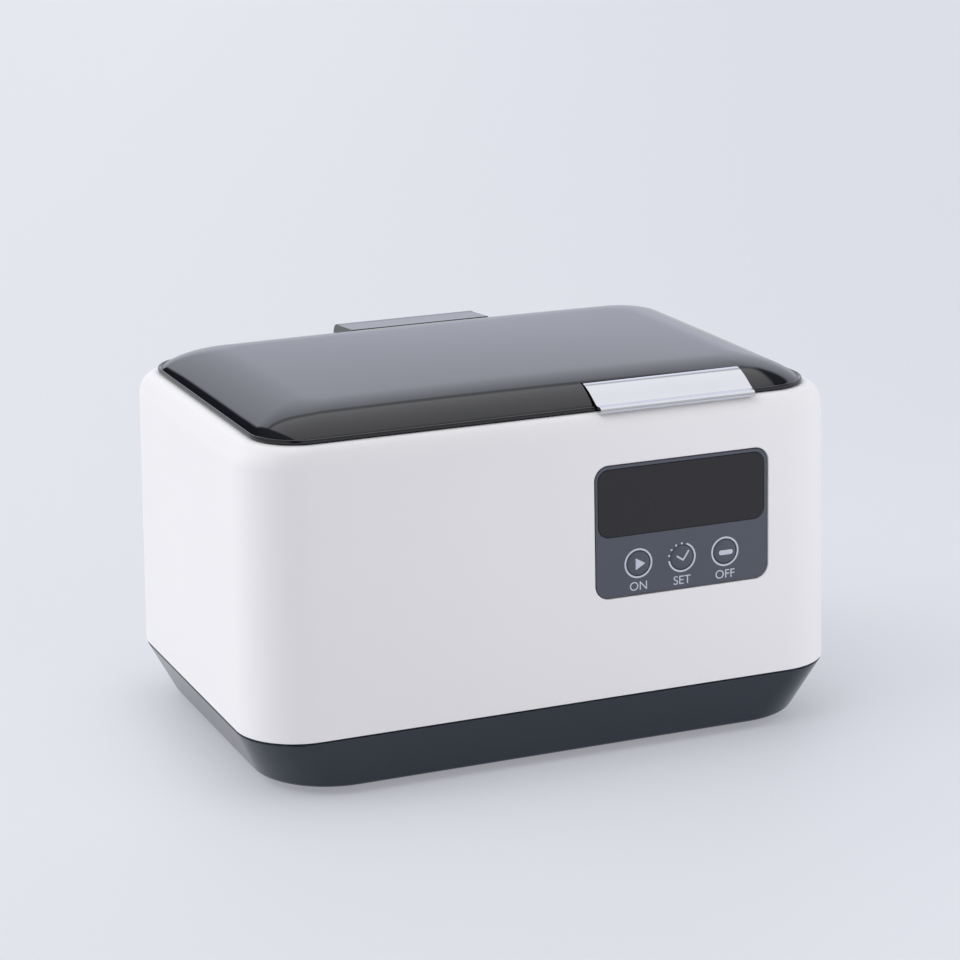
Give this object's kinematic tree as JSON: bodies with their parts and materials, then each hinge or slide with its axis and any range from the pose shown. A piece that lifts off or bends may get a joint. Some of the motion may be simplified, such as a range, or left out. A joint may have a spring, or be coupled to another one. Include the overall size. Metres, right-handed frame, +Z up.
{
  "type": "ultrasonic cleaner",
  "caption": "Tabletop ultrasonic cleaner with a white housing on a dark tapered base, a hinged black lid with a chrome pull, a control panel with keys and a steel tank inside.",
  "frame": {"origin": "centre of the footprint, on the surface that the rubber feet stand on", "axes": "+X to the right seen from the front, +Y to the back, where the hinge is, and +Z up"},
  "size_m": [0.207, 0.1396, 0.1244],
  "materials": {
    "white_abs": "satin white moulded ABS",
    "slate_abs": "satin dark slate moulded ABS",
    "black_gloss": "polished black ABS",
    "chrome": "chrome plate on ABS",
    "steel": "drawn stainless steel",
    "aluminium": "turned and sawn aluminium",
    "panel_grey": "satin slate grey printed panel",
    "smoked_window": "smoked, almost black, matt-coated plastic",
    "rubber": "moulded black rubber",
    "silicone": "grey silicone",
    "ceramic": "fired, unglazed",
    "brass": "stamped brass",
    "board_green": "glass-fibre board with solder mask",
    "black_plastic": "moulded black plastic",
    "yellow_film": "yellow capacitor case",
    "wire": "red PVC insulation"
  },
  "bodies": {
    "base": {"housing": "white_abs", "base_tray": "slate_abs", "foot_left_front": "rubber", "foot_left_rear": "rubber", "foot_right_front": "rubber", "foot_right_rear": "rubber", "base_screw_left_front": "steel", "base_screw_left_rear": "steel", "base_screw_right_front": "steel", "base_screw_right_rear": "steel", "tank": "steel", "tank_gasket": "silicone", "transducer_front_mass": "aluminium", "piezo_ring_upper": "ceramic", "transducer_electrode": "brass", "piezo_ring_lower": "ceramic", "transducer_back_mass": "steel", "transducer_bolt": "steel", "hinge_block": "slate_abs", "hinge_block_screw_left": "steel", "hinge_block_screw_right": "steel", "fascia": "panel_grey", "display_window": "smoked_window", "tact_switch_on": "black_plastic", "tact_switch_set": "black_plastic", "tact_switch_off": "black_plastic", "display_board": "board_green", "led_display": "black_plastic", "power_board": "board_green", "output_transformer": "black_plastic", "film_capacitor": "yellow_film", "smoothing_capacitor": "black_plastic", "heatsink": "aluminium", "power_transistor": "black_plastic", "mains_fuse": "ceramic", "fan_frame": "black_plastic", "fan_screw_lower": "steel", "fan_screw_upper": "steel", "mains_inlet": "black_plastic", "inlet_pin_left": "brass", "inlet_pin_right": "brass", "transducer_lead": "wire", "mains_lead": "black_plastic", "display_lead": "wire", "fan_lead": "black_plastic"},
    "lid": {"lid_shell": "black_gloss", "lid_liner": "slate_abs", "lid_handle": "chrome", "hinge_cover": "black_gloss", "hinge_cover_screw_left": "steel", "hinge_cover_screw_right": "steel", "hinge_pin": "steel"},
    "on_key": {"key_on": "panel_grey", "switch_plunger_on": "black_plastic"},
    "set_key": {"key_set": "panel_grey", "switch_plunger_set": "black_plastic"},
    "off_key": {"key_off": "panel_grey", "switch_plunger_off": "black_plastic"},
    "rotor": {"fan_rotor": "black_plastic"}
  },
  "joints": [
    {"name": "lid_hinge", "type": "hinge", "parent": "base", "child": "lid", "pos_m": [0, 0.065, 0.1176], "axis": [-1, 0, 0], "range_deg": [0, 100]},
    {"name": "on_press", "type": "slide", "parent": "base", "child": "on_key", "axis": [0, 0.9999, -0.0169], "range_m": [0, 0.0006], "stiffness_N_per_m": 400},
    {"name": "set_press", "type": "slide", "parent": "base", "child": "set_key", "axis": [0, 0.9999, -0.0169], "range_m": [0, 0.0006], "stiffness_N_per_m": 400},
    {"name": "off_press", "type": "slide", "parent": "base", "child": "off_key", "axis": [0, 0.9999, -0.0169], "range_m": [0, 0.0006], "stiffness_N_per_m": 400},
    {"name": "fan_spin", "type": "hinge", "parent": "base", "child": "rotor", "pos_m": [0.06, 0.0596, 0.044], "axis": [0, 1, 0], "continuous": true}
  ]
}
